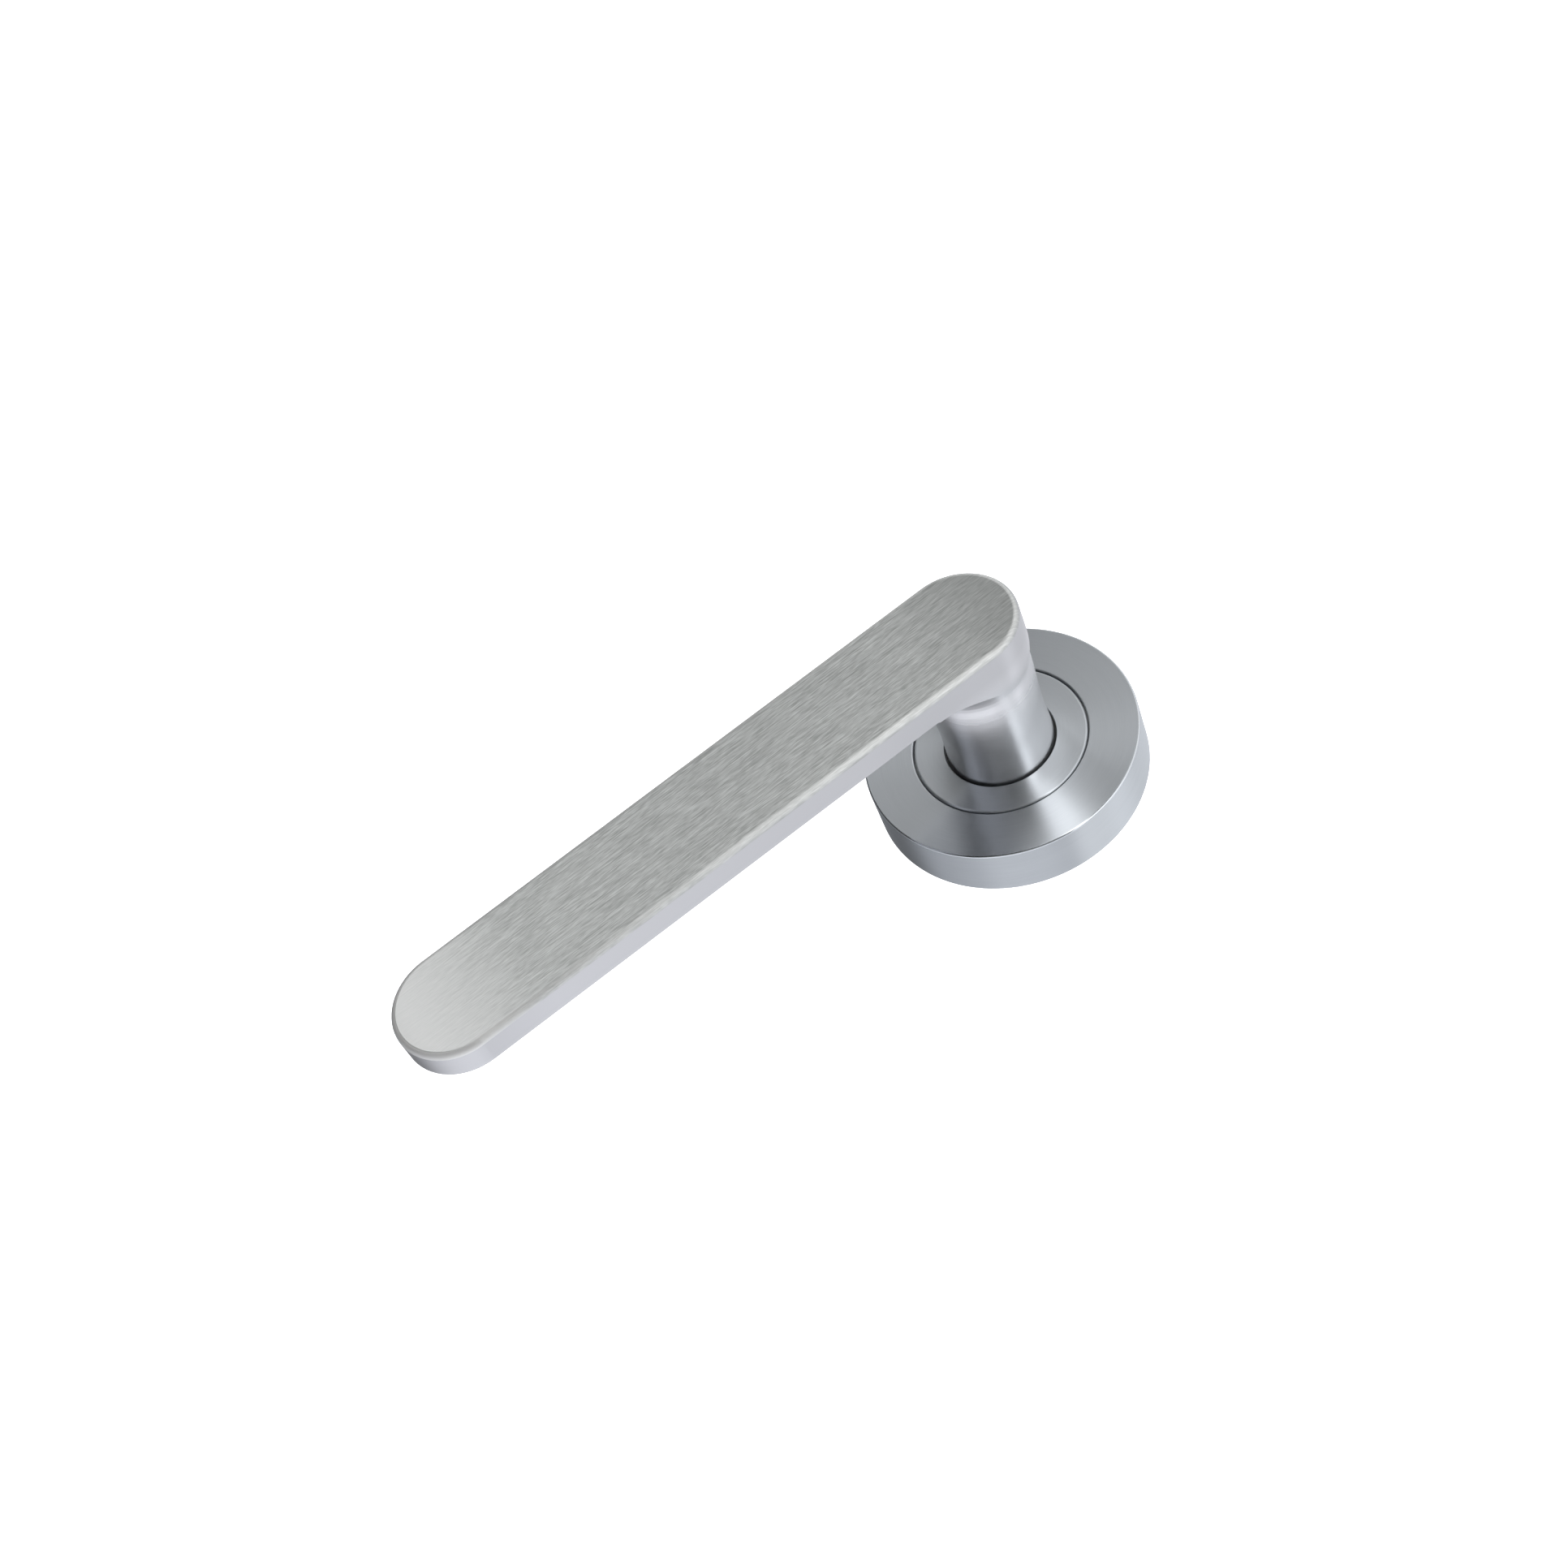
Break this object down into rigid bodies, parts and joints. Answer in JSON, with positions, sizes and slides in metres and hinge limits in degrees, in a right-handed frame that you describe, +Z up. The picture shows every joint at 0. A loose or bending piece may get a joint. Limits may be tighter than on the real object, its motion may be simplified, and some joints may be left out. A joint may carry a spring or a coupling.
{
  "type": "door lever handle",
  "caption": "Sprung door lever handle: a flat round-ended bar on a turned neck, set in a round rose with a push-on cover, a square spindle and through bolts.",
  "frame": {"origin": "on the spindle axis, on the door's surface behind the rose", "axes": "+Z up, +Y into the door along the spindle, +X along the lever towards its tip; the handle stands out towards -Y"},
  "size_m": [0.1512, 0.0699, 0.054],
  "materials": {
    "lever_steel": "satin, brushed along the bar",
    "rose_steel": "satin, lathe-brushed in circles",
    "bright_steel": "bright zinc plated",
    "plated_steel": "yellow passivated zinc plate",
    "black_steel": "black oxide",
    "spring_steel": "oil-tempered wire",
    "cast_zinc": "as cast, matt",
    "acetal": "black moulded",
    "seal_rubber": "matt black"
  },
  "bodies": {
    "rose": {"base_plate": "cast_zinc", "bearing_bush": "acetal", "collar_ring": "rose_steel", "thrust_washer": "acetal", "shim_washer": "bright_steel", "return_spring": "spring_steel", "spring_cover": "plated_steel", "spring_cover_screws": "bright_steel", "cover_grip_ring": "seal_rubber", "fixing_bolts": "bright_steel"},
    "lever": {"lever": "lever_steel", "grub_screw": "black_steel", "spindle": "bright_steel", "driver_plate": "plated_steel", "retaining_ring": "black_steel"},
    "cover": {"rose_cover": "rose_steel"}
  },
  "joints": [
    {"name": "lever_turn", "type": "hinge", "parent": "rose", "child": "lever", "pos_m": [0, 0, 0], "axis": [0, 1, 0], "range_deg": [-45, 45], "stiffness_Nm_per_rad": 3, "springref_deg": -1.45, "deforming": ["return_spring"]},
    {"name": "cover_slide", "type": "slide", "parent": "rose", "child": "cover", "axis": [0, -1, 0], "range_m": [0, 0.026]}
  ]
}
